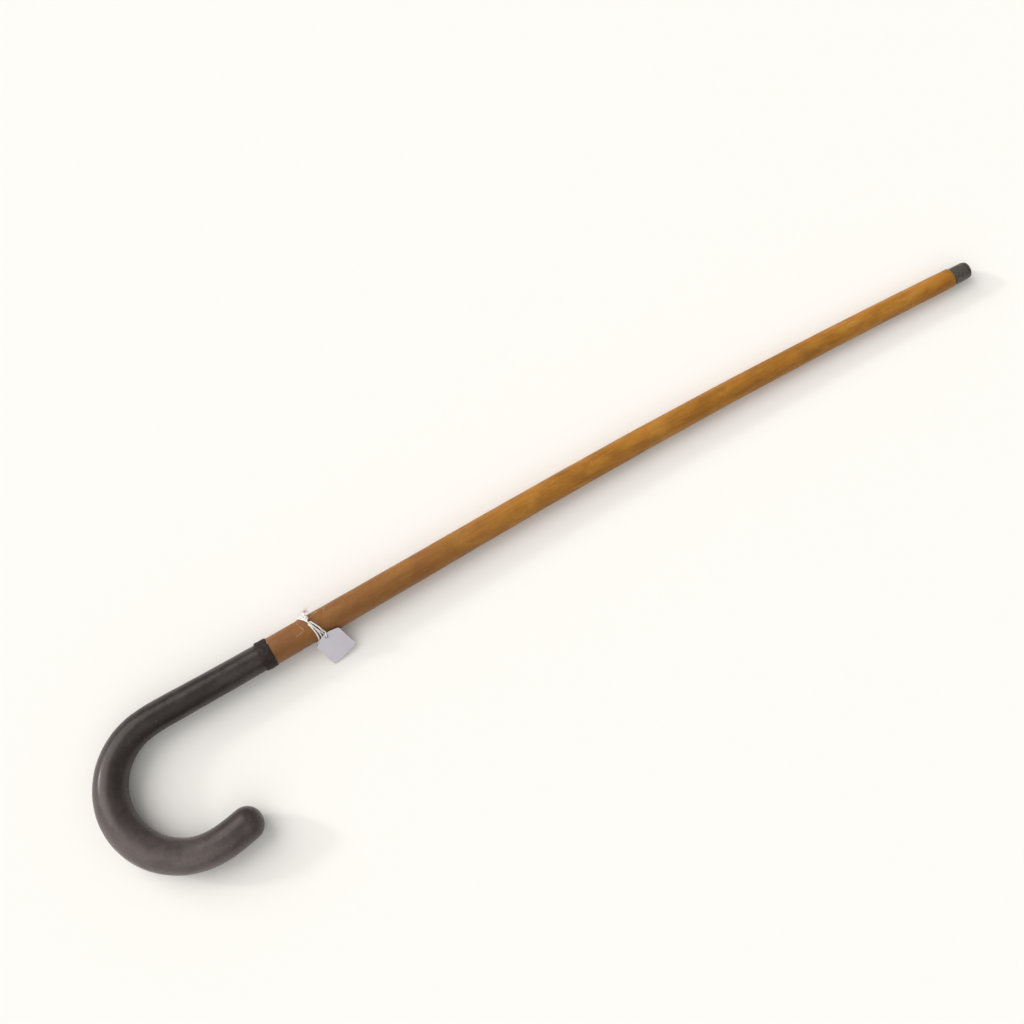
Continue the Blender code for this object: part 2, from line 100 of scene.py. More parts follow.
# String and tag.  Angles are in degrees round the shaft, from +Y up towards +Z.
STRING_AT = 0.655
STRING_R = 0.0006
CROSSING_ANGLE = 68.0
LOOP_SLANT = (-0.00060, -0.0036, 0.0026)    # along the shaft: middle, cosine and sine parts
LOOP_APART = 0.00078         # half the distance between the two turns at the crossing
LOOP_SPREAD = 0.0012         # and what is added to it on the opposite side
SWAP_START = 112.0           # the first turn crosses to the other side between these two angles
SWAP_END = 38.0
SWAP_LIFT = 0.0011
KNOT_R = 0.0012
KNOT_AT = 0.0016             # along the shaft from the crossing, at its start
KNOT_DRIFT = 0.0004          # and how far it runs back by its end
KNOT_START = 60.0
KNOT_END = 31.0
KNOT_RISE = 0.0008           # how much further off the shaft its end stands than its start
TAIL_APART = 0.00060         # from the knot's middle to each of its two tails
WRAP_REACH = 0.00118         # and to the strand tied over them
TAG_WIDTH = 0.0238
TAG_LENGTH = 0.0265
TAG_THICKNESS = 0.0004
TAG_CLIP_ACROSS = 0.0086     # how much of the hole end's corners is cut off, across the card
TAG_CLIP_DOWN = 0.0042       # and down its sides
TAG_CORNER = 0.0016          # how far from each corner its rounding starts
TAG_HOLE_R = 0.0015
TAG_HOLE_DOWN = 0.0026       # hole's distance from the card's end edge
TAG_LEAN = math.radians(44)
TAG_TWIST = math.radians(16.5)
TAG_PLANE = 0.0136           # the card's distance from the shaft's centreline
TAG_BELOW = 0.0052           # the hole's distance down the card's slope from its nearest point
TAG_AT = 0.0082              # and along the shaft from the string's crossing
TAG_EDGE_STEP = 0.0016       # longest edge in the card's mesh

# The longer scratches beside the string: ends as distance along the stick, and across it
SCRATCH_WIDTH = 0.00035
SCRATCHES = (((0.6622, -0.0078), (0.6600, 0.0002)), ((0.6602, 0.0012), (0.6668, 0.0020)),
             ((0.6400, -0.0108), (0.6370, -0.0088)), ((0.6370, -0.0088), (0.6388, -0.0050)),
             ((0.6505, -0.0066), (0.6432, -0.0086)))

# Leathers' colours, from the painted shade in the grain's creases to the lightest, for rubbed
# places and, on the handle's bend, painted sheen; metals' and cottons' colours
HANDLE_SHADES = ((0.009, 0.006, 0.006), (0.013, 0.009, 0.007), (0.021, 0.015, 0.012),
                 (0.034, 0.026, 0.023), (0.134, 0.108, 0.104))
COLLAR_SHADES = ((0.008, 0.006, 0.006), (0.015, 0.010, 0.009), (0.025, 0.017, 0.015),
                 (0.040, 0.030, 0.027), (0.052, 0.041, 0.037))
FERRULE_SHADES = ((0.082, 0.072, 0.058), (0.17, 0.155, 0.132))
STEEL_SHADES = ((0.075, 0.067, 0.056), (0.18, 0.168, 0.148))
COTTON_WHITE = (0.86, 0.85, 0.84)
COTTON_PINK = (0.80, 0.62, 0.66)

# Camera: its place from the tip, its heading from +Y towards +X, how far it looks down, its
# roll, all in radians, and its lens on a 36 mm sensor
CAMERA_FROM_TIP = Vector((-0.66547, -0.23633, 1.11722))
CAMERA_HEADING = 0.6929
CAMERA_DOWN = 1.2953
CAMERA_ROLL = 0.1701
CAMERA_LENS = 49.22
CAMERA_SENSOR = 36.0

# Suns: bearing from +X towards +Y, height, and width in the sky, all in degrees; strength; colour
SUNS = {"key": (128, 42, 56, 2.0, (1.0, 0.985, 0.96)),
        "side": (140, 22, 6, 0.80, (1.0, 0.985, 0.96)),
        "fill": (218, 50, 80, 0.95, (1.0, 0.99, 0.975))}
SKY_COLOUR = (1.0, 0.99, 0.975, 1)
SKY_STRENGTH = 0.37
BACKDROP_COLOUR = (1.0, 0.985, 0.94, 1)  # what the camera sees past the floor
FLOOR_HALF = 40.0
FLOOR_DROP = 0.0002          # below the stick's lowest point


# --- Centreline, the same as the CAD's ---

def trace_centreline():
    distances = np.arange(-0.002, NOSE_END + 0.002, STEP)
    curvature = np.interp(
        distances,
        SHAFT_STATIONS + (BEND_END, CROOK_OPENS, NOSE_END),
        SHAFT_CURVATURE + (1 / CROOK_RADIUS, 1 / CROOK_RADIUS, NOSE_CURVATURE),
    )
    turned = np.concatenate(([0.0], np.cumsum((curvature[1:] + curvature[:-1]) / 2 * STEP)))
    heading = math.pi + turned
    middle = (heading[1:] + heading[:-1]) / 2
    x = np.concatenate(([0.0], np.cumsum(np.cos(middle) * STEP)))
    y = np.concatenate(([0.0], np.cumsum(np.sin(middle) * STEP)))
    start = np.array([np.interp(0.0, distances, x), np.interp(0.0, distances, y)])
    bend = np.array([np.interp(SHAFT_STATIONS[2], distances, v) for v in (x, y)])
    swing = math.pi - math.atan2(*(bend - start)[::-1])
    x, y = x - start[0], y - start[1]
    points = np.column_stack((x * math.cos(swing) - y * math.sin(swing),
                              x * math.sin(swing) + y * math.cos(swing)))
    return distances, points, heading + swing


DISTANCES, POINTS, HEADINGS = trace_centreline()
TIP = Vector(frame["record"]["mounts"][0]["pos_m"])
LIE = Matrix.Translation(TIP) @ Euler((LIE_TILT_X, LIE_TILT_Y, 0)).to_matrix().to_4x4()


def centre(at):
    return Vector((np.interp(at, DISTANCES, POINTS[:, 0]),
                   np.interp(at, DISTANCES, POINTS[:, 1]), 0.0))


def axes(at):
    """Direction up the stick, and the direction to the inside of the crook's bend."""
    heading = np.interp(at, DISTANCES, HEADINGS)
    return (Vector((math.cos(heading), math.sin(heading), 0.0)),
            Vector((-math.sin(heading), math.cos(heading), 0.0)))


def leather_radius(at):
    stations, radii = np.array(LEATHER_STATIONS), np.array(LEATHER_R)
    slopes = np.gradient(radii, stations)
    i = int(np.clip(np.searchsorted(stations, at) - 1, 0, len(stations) - 2))
    span = stations[i + 1] - stations[i]
    t = (at - stations[i]) / span
    return float((2 * t**3 - 3 * t**2 + 1) * radii[i] + (t**3 - 2 * t**2 + t) * span * slopes[i]
                 + (3 * t**2 - 2 * t**3) * radii[i + 1] + (t**3 - t**2) * span * slopes[i + 1])


def shaft_radius(at):
    share = (at - FERRULE_TOP) / (COLLAR_AT - FERRULE_TOP)
    return SHAFT_R_TIP + (SHAFT_R_TOP - SHAFT_R_TIP) * share


# --- Mesh tools ---

def add_mesh(name, points, faces, finish, smooth_angle=50, straight=None):
    """A mesh in the part's frame.

    straight holds each point as if the stick were straight, for the materials' grain: the
    distance along it, and two coordinates across it.
    """
    mesh = bpy.data.meshes.new(name)
    mesh.from_pydata([tuple(p) for p in points], [], faces)
    bm = bmesh.new()
    bm.from_mesh(mesh)
    bmesh.ops.recalc_face_normals(bm, faces=bm.faces)
    bm.to_mesh(mesh)
    bm.free()
    values = np.array(points if straight is None else straight, np.float32)
    attribute = mesh.attributes.new("straight", "FLOAT_VECTOR", "POINT")
    attribute.data.foreach_set("vector", values.ravel())
    mesh.shade_smooth()
    mesh.set_sharp_from_angle(angle=math.radians(smooth_angle))
    mesh.materials.append(finish)
    thing = bpy.data.objects.new(name, mesh)
    bpy.context.collection.objects.link(thing)
    return thing


def rows_to_faces(rows, sides, ring=False):
    """Faces between rows of point numbers; a row of one point is a pole, and a ring closes."""
    faces = []
    pairs = list(zip(rows, rows[1:])) + ([(rows[-1], rows[0])] if ring else [])
    for one, two in pairs:
        for i in range(sides):
            j = (i + 1) % sides
            if len(one) == 1:
                faces.append((one[0], two[i], two[j]))
            elif len(two) == 1:
                faces.append((one[i], one[j], two[0]))
            else:
                faces.append((one[i], one[j], two[j], two[i]))
    return faces


def add_turned(name, profile, finish, ring=False, sides=96, shape=None, smooth_angle=50):
    """A piece turned round the centreline from (distance, radius) points.

    shape(distance, angle, radius) returns the distance and the radius after unevenness.
    """
    points, straight, rows = [], [], []
    for at, radius in profile:
        if radius == 0:
            rows.append([len(points)])
            points.append(centre(at))
            straight.append((at, 0, 0))
            continue
        row = []
        for i in range(sides):
            angle = 2 * math.pi * i / sides
            here, r = (at, radius) if shape is None else shape(at, angle, radius)
            inward = axes(here)[1]
            side = inward * math.cos(angle) + Vector((0, 0, math.sin(angle)))
            row.append(len(points))
            points.append(centre(here) + side * r)
            straight.append((here, r * math.cos(angle), r * math.sin(angle)))
        rows.append(row)
    placed = [LIE @ p for p in points]
    faces = rows_to_faces(rows, sides, ring)
    return add_mesh(name, placed, faces, finish, smooth_angle, straight)


def along(start, end, count, radius):
    """Profile points at even distances, where radius(distance) gives each one's radius."""
    return [(float(at), radius(float(at))) for at in np.linspace(start, end, count)]


def rounded(start, start_r, end, end_r, count=5, first=0.0, last=math.pi / 2):
    """Profile points of a quarter ellipse between two corners, or of its part between turns."""
    return [(start + (end - start) * math.sin(turn), end_r + (start_r - end_r) * math.cos(turn))
            for turn in np.linspace(first, last, count)]


def smooth_path(points, count):
    """Even points along a Catmull-Rom curve through the given ones."""
    points = [Vector(p) for p in points]
    padded = [2 * points[0] - points[1]] + points + [2 * points[-1] - points[-2]]
    samples = 24
    dense = []
    for a, b, c, d in zip(padded, padded[1:], padded[2:], padded[3:]):
        for t in np.linspace(0, 1, samples, endpoint=False):
            dense.append(0.5 * ((2 * b) + (c - a) * t + (2 * a - 5 * b + 4 * c - d) * t**2
                                + (3 * b - a - 3 * c + d) * t**3))
    dense.append(points[-1])
    walked = np.concatenate(([0.0], np.cumsum([(q - p).length for p, q in zip(dense, dense[1:])])))
    spots = np.linspace(0, walked[-1], count)
    coordinates = [np.interp(spots, walked, [p[k] for p in dense]) for k in range(3)]
    return [Vector(p) for p in zip(*coordinates)]


def add_rope(name, path, radius, finish, plies=3, lay=0.0035, sides=18, swell=None):
    """A twisted cord along the path: a tube with lobed sides that wind round it.

    lay is the length in which the winding turns once, over plies; swell(share) scales the
    radius along the path, for ends that taper.
    """
    groove = 0.16
    points, straight, faces = [], [], []
    walked = 0.0
    side = None
    for k, spot in enumerate(path):
        ahead = path[min(k + 1, len(path) - 1)] - path[max(k - 1, 0)]
        ahead.normalize()
        if side is None:
            side = ahead.orthogonal().normalized()
        side = (side - ahead * side.dot(ahead)).normalized()
        across = ahead.cross(side)
        if k:
            walked += (spot - path[k - 1]).length
        scale = radius * (swell(k / (len(path) - 1)) if swell else 1.0)
        for i in range(sides):
            angle = 2 * math.pi * i / sides
            wound = angle - 2 * math.pi * walked / lay / plies
            lobe = 1 - groove + groove * abs(math.cos(plies / 2 * wound))
            offset = (side * math.cos(angle) + across * math.sin(angle)) * scale * lobe
            points.append(spot + offset)
            straight.append((walked, scale * math.cos(angle), scale * math.sin(angle)))
    count = len(path)
    for k in range(count - 1):
        for i in range(sides):
            j = (i + 1) % sides
            faces.append((k * sides + i, k * sides + j, (k + 1) * sides + j, (k + 1) * sides + i))
    faces.append(tuple(reversed(range(sides))))
    faces.append(tuple((count - 1) * sides + i for i in range(sides)))
    return add_mesh(name, points, faces, finish, 80, straight)


def join(name, things):
    """Several objects as one, under a new name."""
    bpy.ops.object.select_all(action="DESELECT")
    for thing in things:
        thing.select_set(True)
    bpy.context.view_layer.objects.active = things[0]
    bpy.ops.object.join()
    things[0].name = name
    things[0].data.name = name
    return things[0]


def lumps(at, angle, radius, size, seed=0.0):
    """Smooth noise over the stick's surface, from about -1 to 1, in patches of that size."""
    spot = Vector((at, radius * math.cos(angle), radius * math.sin(angle))) / size
    return noise.noise(spot + Vector((seed, seed * 1.7, -seed)))


# --- Materials ---

class Nodes:
    """A short way to write one material's node tree."""

    def __init__(self, name):
        self.material = bpy.data.materials.new(name)
        self.material.use_nodes = True
        self.tree = self.material.node_tree
        self.shader = self.tree.nodes["Principled BSDF"]

    def put(self, target, value):
        if isinstance(value, bpy.types.NodeSocket):
            self.tree.links.new(value, target)
        else:
            target.default_value = value

    def add(self, kind, settings=None, **inputs):
        node = self.tree.nodes.new(kind)
        for key, value in (settings or {}).items():
            setattr(node, key, value)
        for key, value in inputs.items():
            self.put(node.inputs[key.replace("_", " ")], value)
        return node

    def straight(self, scale=(1, 1, 1), offset=(0, 0, 0)):
        """The straightened position, scaled, as a vector."""
        source = self.add("ShaderNodeAttribute", {"attribute_name": "straight"})
        mapped = self.add("ShaderNodeMapping", Vector=source.outputs["Vector"],
                          Scale=scale, Location=offset)
        return mapped.outputs["Vector"]

    def noise(self, vector, scale, detail=3.0, roughness=0.5, distortion=0.0):
        node = self.add("ShaderNodeTexNoise", Vector=vector, Scale=scale, Detail=detail,
                        Roughness=roughness, Distortion=distortion)
        return node.outputs["Fac"]

    def cells(self, vector, scale, feature="DISTANCE_TO_EDGE"):
        node = self.add("ShaderNodeTexVoronoi", {"feature": feature}, Vector=vector, Scale=scale)
        return node.outputs["Distance"]

    def ramp(self, value, stops):
        """A colour ramp; stops are (position, colour) pairs."""
        node = self.add("ShaderNodeValToRGB", Fac=value)
        elements = node.color_ramp.elements
        while len(elements) < len(stops):
            elements.new(0.5)
        for element, (position, colour) in zip(elements, stops):
            element.position = position
            element.color = (*colour, 1)
        return node.outputs["Color"]

    def span(self, value, low, high, to_low=0.0, to_high=1.0):
        """Value between low and high, spread smoothly over to_low to to_high."""
        node = self.add("ShaderNodeMapRange", {"interpolation_type": "SMOOTHSTEP"}, Value=value)
        for key, number in (("From Min", low), ("From Max", high),
                            ("To Min", to_low), ("To Max", to_high)):
            self.put(node.inputs[key], number)
        return node.outputs["Result"]

    def math(self, operation, one, two=0.0):
        node = self.add("ShaderNodeMath", {"operation": operation})
        self.put(node.inputs[0], one)
        self.put(node.inputs[1], two)
        return node.outputs[0]

    def mix(self, share, under, over):
        """The colour under, covered by the plain colour over in this share."""
        node = self.add("ShaderNodeMix", {"data_type": "RGBA"})
        colour_a, colour_b, colour_out = node.inputs[6], node.inputs[7], node.outputs[2]
        self.put(node.inputs["Factor"], share)
        self.put(colour_a, under)
        self.put(colour_b, (*over, 1))
        return colour_out

    def bump(self, height, strength, distance, normal=None):
        node = self.add("ShaderNodeBump", Height=height, Strength=strength, Distance=distance)
        if normal is not None:
            self.put(node.inputs["Normal"], normal)
        return node.outputs["Normal"]

    def near_line(self, start, end, width):
        """1 on a straight line between two places on the wood seen from above, 0 off it."""
        def vector_math(operation, one, two):
            node = self.add("ShaderNodeVectorMath", {"operation": operation})
            self.put(node.inputs[0], one)
            self.put(node.inputs["Scale"] if operation == "SCALE" else node.inputs[1], two)
            is_number = operation in ("DOT_PRODUCT", "DISTANCE")
            return node.outputs["Value" if is_number else "Vector"]

        run = Vector((*end, 0)) - Vector((*start, 0))
        offset = vector_math("SUBTRACT", self.straight((1, 1, 0)), (*start, 0))
        share = vector_math("DOT_PRODUCT", offset, tuple(run / run.length_squared))
        share = self.math("MINIMUM", self.math("MAXIMUM", share, 0.0), 1.0)
        gap = vector_math("DISTANCE", offset, vector_math("SCALE", tuple(run), share))
        return self.span(gap, width * 0.4, width, 1, 0)

    def separate(self, vector):
        return self.add("ShaderNodeSeparateXYZ", Vector=vector).outputs

    def finish(self, **inputs):
        for key, value in inputs.items():
            self.put(self.shader.inputs[key.replace("_", " ")], value)
        return self.material


def varnished_wood():
    """Bent hardwood under old varnish: warm mottling, long grain, fine scratches."""
    n = Nodes("varnished_wood")
    place = n.straight()
    patches = n.noise(n.straight((0.42, 1, 1)), 62, 3, 0.55, 0.6)
    colour = n.ramp(patches, ((0.30, (0.272, 0.110, 0.013)), (0.45, (0.348, 0.144, 0.017)),
                              (0.58, (0.398, 0.171, 0.022)), (0.74, (0.446, 0.204, 0.034))))
    cloud = n.noise(n.straight((0.5, 1, 1), (3, 1, 7)), 95, 2, 0.5)
    colour = n.mix(n.span(cloud, 0.50, 0.70, 0, 0.42), colour, (0.215, 0.088, 0.020))
    olive = n.noise(n.straight((0.6, 1, 1), (9, 4, 2)), 75, 2, 0.5)
    colour = n.mix(n.span(olive, 0.53, 0.75, 0, 0.34), colour, (0.275, 0.139, 0.018))
    grain = n.noise(n.straight((0.05, 1, 1)), 900, 4, 0.6)
    colour = n.mix(n.span(grain, 0.45, 0.75, 0, 0.38), colour, (0.130, 0.048, 0.012))
    pores = n.noise(n.straight((0.12, 1, 1), (5, 5, 5)), 2200, 2, 0.5)
    colour = n.mix(n.span(pores, 0.66, 0.74, 0, 0.5), colour, (0.070, 0.026, 0.008))
    # Painted shade: the wood darkens towards the collar.
    shade_to_collar = n.span(n.separate(place)["X"], 0.40, 0.68, 0, 0.66)
    colour = n.mix(shade_to_collar, colour, (0.175, 0.074, 0.036))
    wear = n.noise(n.straight((0.8, 1, 1), (1, 2, 3)), 45, 2, 0.5)
    from_tag = n.math("ABSOLUTE", n.math("SUBTRACT", n.separate(place)["X"], STRING_AT))
    near_tag = n.span(from_tag, 0.015, 0.035, 0.22, 0.0)
    warped = n.noise(n.straight(offset=(2, 8, 1)), 105, 1, 0.4, 0.4)
    line = n.span(n.math("ABSOLUTE", n.math("SUBTRACT", warped, 0.5)), 0.0, 0.0050, 1, 0)
    broken = n.noise(n.straight(offset=(4, 2, 9)), 160, 2, 0.5)
    scratches = n.math("MULTIPLY", n.math("MULTIPLY", line, n.span(broken, 0.50, 0.56)),
                       n.span(n.math("ADD", wear, near_tag), 0.60, 0.70))
    patchy = n.span(n.noise(place, 900, 2, 0.6), 0.35, 0.60, 0.35, 1.0)
    for start, end in SCRATCHES:
        long_one = n.math("MULTIPLY", n.near_line(start, end, SCRATCH_WIDTH), patchy)
        scratches = n.math("MAXIMUM", scratches, long_one)
    colour = n.mix(n.math("MULTIPLY", scratches, 0.65), colour, (0.52, 0.33, 0.18))
    rough = n.math("ADD", n.span(wear, 0.3, 0.7, 0.34, 0.50), n.math("MULTIPLY", scratches, 0.2))
    surface = n.bump(grain, 0.25, 0.0002)
    surface = n.bump(pores, 0.15, 0.0001, surface)
    surface = n.bump(n.noise(place, 180, 2, 0.5), 0.35, 0.0012, surface)
    return n.finish(Base_Color=colour, Roughness=rough, Normal=surface, IOR=1.45,
                    Specular_IOR_Level=0.25)


def bare_wood():
    """Plain wood, for what the leather hides."""
    n = Nodes("bare_wood")
    grain = n.noise(n.straight((0.05, 1, 1)), 900, 4, 0.6)
    colour = n.ramp(grain, ((0.3, (0.38, 0.22, 0.10)), (0.7, (0.52, 0.34, 0.18))))
    return n.finish(Base_Color=colour, Roughness=0.7, Normal=n.bump(grain, 0.3, 0.0003))


def handle_leather(name, shades, polish, wax):
    """Dark leather, polished by the hand, with faint mottling and fine pebbled grain.

    shades run from the painted shade in the grain's creases to the lightest colour, for rubbed
    places and for the painted sheen on the bend;
    polish is the lowest roughness, and wax the strength of the glossy coat over it.
    """
    n = Nodes(name)
    painted_crease_shade, dark, middle, light, rubbed_and_sheen = shades
    mottle = n.noise(n.straight((0.7, 1, 1)), 110, 4, 0.6)
    colour = n.ramp(mottle, ((0.30, dark), (0.50, middle), (0.70, light)))
    rub = n.noise(n.straight((0.5, 1, 1), (4, 2, 9)), 48, 3, 0.5)
    colour = n.mix(n.span(rub, 0.50, 0.72, 0, 0.22), colour, rubbed_and_sheen)
    place = n.separate(n.straight())
    # Painted sheen with some wear: the bend, and most of all its outer side, turn towards the
    # lightest shade.
    outer_wear_and_sheen = n.math("MULTIPLY", n.span(place["Y"], -0.010, 0.006, 1, 0),
                   n.span(place["X"], 0.80, 0.88, 0, 0.45))
    held = n.math("ADD", n.span(place["X"], 0.82, 0.94, 0, 0.72), outer_wear_and_sheen)
    held = n.math("MULTIPLY", held, n.span(place["X"], 0.950, 0.995, 1, 0.40))
    colour = n.mix(held, colour, rubbed_and_sheen)
    blotches = n.noise(n.straight((0.8, 1, 1), (6, 1, 4)), 120, 3, 0.5)
    colour = n.mix(n.span(blotches, 0.42, 0.72, 0, 0.30), colour, dark)
    # Painted shade in the grain's creases: the cells' edges darken towards the darkest shade.
    grain = n.span(n.cells(n.straight(), 1500), 0.0, 0.22)
    colour = n.mix(n.math("MULTIPLY", n.math("SUBTRACT", 1.0, grain), 0.4), colour, painted_crease_shade)
    creases = n.noise(n.straight((1.2, 0.7, 0.7), (7, 7, 1)), 260, 3, 0.55, 0.4)
    scuff = n.span(n.noise(n.straight(offset=(2, 6, 5)), 620, 3, 0.6), 0.62, 0.72)
    scuff = n.math("MULTIPLY", scuff, n.span(rub, 0.5, 0.65, 0.08, 0.40))
    colour = n.mix(scuff, colour, tuple(1.5 * part for part in rubbed_and_sheen))
    rough = n.math("ADD", n.span(rub, 0.35, 0.7, polish + 0.06, polish),
                   n.math("MULTIPLY", scuff, 0.15))
    surface = n.bump(grain, 0.17, 0.00010)
    surface = n.bump(creases, 0.17, 0.0005, surface)
    return n.finish(Base_Color=colour, Roughness=rough, Normal=surface, IOR=1.45,
                    Specular_IOR_Level=0.24, Specular_Tint=(1.0, 0.88, 0.84, 1.0),
                    Coat_Weight=wax, Coat_Roughness=0.24)


def dull_metal(name, dark, light):
    """Tarnished metal with drawn lines, pits and small dents."""
    n = Nodes(name)
    tarnish = n.noise(n.straight(), 420, 4, 0.6, 0.3)
    between = tuple((d + l) / 2 for d, l in zip(dark, light))
    colour = n.ramp(tarnish, ((0.32, dark), (0.55, between), (0.75, light)))
    lines = n.noise(n.straight((1, 0.1, 0.1)), 1800, 2, 0.5)
    pits = n.cells(n.straight(), 1500, "F1")
    rough = n.span(tarnish, 0.3, 0.7, 0.58, 0.42)
    surface = n.bump(lines, 0.12, 0.0001)
    surface = n.bump(n.span(pits, 0.0, 0.25), 0.15, 0.0001, surface)
    surface = n.bump(n.noise(n.straight(), 260, 2, 0.5), 0.3, 0.0006, surface)
    return n.finish(Base_Color=colour, Roughness=rough, Metallic=0.75, Normal=surface)


def cotton(name, tint):
    """Soft spun cotton, with shaded gaps between its fibres."""
    n = Nodes(name)
    fuzz = n.noise(n.straight((0.4, 1, 1)), 9000, 3, 0.6)
    colour = n.ramp(fuzz, ((0.3, tuple(part * 0.72 for part in tint)), (0.65, tint)))
    return n.finish(Base_Color=colour, Roughness=0.9, Normal=n.bump(fuzz, 0.6, 0.00015),
                    Sheen_Weight=0.35, Sheen_Roughness=0.5)


def waxed_thread():
    n = Nodes("waxed_thread")
    twist = n.noise(n.straight(), 5000, 2, 0.5)
    colour = n.ramp(twist, ((0.3, (0.016, 0.012, 0.010)), (0.7, (0.050, 0.038, 0.032))))
    return n.finish(Base_Color=colour, Roughness=0.45, Normal=n.bump(twist, 0.4, 0.0001))


def tag_paper():
    """Thin card, faintly lavender, with paper fibre and slight staining."""
    n = Nodes("tag_paper")
    fibre = n.noise(n.straight(), 2600, 4, 0.6)
    cloud = n.noise(n.straight(), 190, 3, 0.5)
    colour = n.ramp(fibre, ((0.3, (0.60, 0.58, 0.65)), (0.7, (0.69, 0.67, 0.73))))
    colour = n.mix(n.span(cloud, 0.5, 0.8, 0, 0.35), colour, (0.66, 0.63, 0.62))
    surface = n.bump(fibre, 0.25, 0.00008)
    surface = n.bump(cloud, 0.35, 0.0006, surface)
    return n.finish(Base_Color=colour, Roughness=0.75, Normal=surface)


def plain_floor():
    n = Nodes("plain_floor")
    return n.finish(Base_Color=(0.90, 0.885, 0.855, 1), Roughness=0.85, Specular_IOR_Level=0.2)


# --- Handle ---

def outer_radius(at):
    """The leather's surface, with the dome that ends it."""
    past = max(at - DOME_START, 0) / (NOSE_END - DOME_START)
    return leather_radius(min(at, DOME_START)) * math.sqrt(max(1 - past * past, 0))


def dome(depth, count, first=0.0, last=math.pi / 2):
    """Profile points of the nose's dome, a depth below the leather's surface."""
    radius = leather_radius(DOME_START) - depth
    return rounded(DOME_START, radius, NOSE_END - depth, 0.0, count, first, last)


def wrapped_leather(at, angle, radius):
    """The leather's unevenness: soft lumps, fine tucks inside the bend, a sunk seam."""
    if radius < outer_radius(at) - LEATHER * 0.5:
        return at, radius
    soft = 0.00016 * lumps(at, angle, radius, 0.013) + 0.00007 * lumps(at, angle, radius, 0.005, 4)
    bend = min(max((at - 0.79) / 0.03, 0), 1) * min(max((0.99 - at) / 0.03, 0), 1)
    inside = max(math.cos(angle), 0) ** 4
    tucks = 0.00007 * bend * inside * math.sin(at / 0.0042 * 2 * math.pi
                                               + 2.2 * lumps(at, angle, radius, 0.02, 9))
    seam = -0.00025 * math.exp(-(math.sin(angle / 2) * 2 * radius / 0.0006) ** 2)
    seam *= min(max((SEAM_END + 0.003 - at) / 0.006, 0), 1)
    return at, radius - INSET + soft + tucks + seam


def build_cover(leather):
    """The leather tube, from the collar to part way round the nose's dome."""
    run = along(COLLAR_AT + GAP, DOME_START, 330, leather_radius)
    run[0] = (run[0][0], run[0][1] - EDGE_R)
    shoulder = dome(0.0, 24, 0.0, COVER_TURN)[1:]
    shoulder.append((shoulder[-1][0] - EDGE_R * 0.3, shoulder[-1][1] - EDGE_R))
    inside = dome(LEATHER, 8, 0.0, COVER_TURN)[:0:-1]
    inside += [(at, leather_radius(at) - LEATHER) for at, _ in reversed(run[::6])]
    cover = add_turned("leather_cover_skin", run + shoulder + inside, leather, ring=True,
                       sides=112, shape=wrapped_leather)
    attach(cover, STICK)
    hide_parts("leather_cover")


def build_nose_patch(leather):
    """The round piece that closes the nose, slightly puckered at its rim."""
    outside = dome(0.0, 22, PATCH_TURN)[:-1] + [(NOSE_END, 0)]
    inside = dome(LEATHER, 8, PATCH_TURN)[:-1] + [(NOSE_END - LEATHER, 0)]

    def shape(at, angle, radius):
        if radius < outer_radius(at) - LEATHER * 0.5 or radius < 0.001:
            return at, radius
        pucker = 0.00005 * math.sin(14 * angle) * min(radius / 0.007, 1) ** 4
        return at, radius - INSET + 0.00010 * lumps(at, angle, radius, 0.006, 2) + pucker

    patch = add_turned("nose_patch_skin", outside[::-1] + inside, leather, sides=96, shape=shape)
    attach(patch, STICK)
    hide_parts("nose_patch")


def build_collar_band(leather):
    """The strip round the cover's lower edge: crinkled, with an uneven lower rim."""
    low, high = COLLAR_AT - GAP * 0.6, COLLAR_AT + BAND_WIDTH
    rows = 26
    outside = []
    for k in range(rows):
        share = k / (rows - 1)
        at = low + (high - low) * share
        swell = math.sin(math.pi * min(max(share, 0.02), 0.98)) ** 0.35
        outside.append((at, leather_radius(at) + GAP + BAND_THICKNESS * (0.35 + 0.65 * swell)))
    inside = [(high, leather_radius(high) + GAP * 0.6), (low, leather_radius(low) + GAP * 0.6)]

    def shape(at, angle, radius):
        share = (at - low) / (high - low)
        rim = (1 - share) ** 2
        ragged = 0.00045 * lumps(0.0, angle, 0.012, 0.0045, 3) * rim
        upper = 0.0006 * lumps(0.1, angle, 0.012, 0.007, 8) * share ** 2
        if radius < leather_radius(min(max(at, low), high)) + GAP:
            return at + max(ragged, -GAP) * rim + upper, radius
        crinkle = 0.00030 * lumps(at, angle, radius, 0.0035, 5)
        crinkle += 0.00016 * lumps(at, angle, radius, 0.0016, 6)
        return at + ragged + upper, radius + crinkle - INSET

    band = add_turned("collar_band_skin", outside + inside, leather, ring=True, sides=180,
                      shape=shape, smooth_angle=70)
    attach(band, STICK)
    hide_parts("collar_band")


def build_seam(thread):
    """Slanting stitches that close the cover's seam, along the inside of the crook."""
    stitches = []
    for k in range(int((SEAM_END - SEAM_START) / STITCH_PITCH)):
        at = SEAM_START + STITCH_PITCH * (k + 0.5)
        path = []
        for share in np.linspace(-1, 1, 9):
            here = at + STITCH_SLANT * share
            turn = STITCH_HALF_WIDTH * share / leather_radius(here)
            rise = 0.00006 * math.cos(share * math.pi / 2) - 0.00030 * abs(share) ** 4
            height = leather_radius(here) - 0.00012 + rise
            side = axes(here)[1] * math.cos(turn) + Vector((0, 0, math.sin(turn)))
            path.append(LIE @ (centre(here) + side * height))
        stitches.append(add_rope(f"stitch_{k}", path, STITCH_R, thread, 2, 0.0015, 10))
    seam = join("seam_stitches", stitches)
    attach(seam, STICK)
    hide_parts("seam_thread")


# --- Shaft and ferrule ---

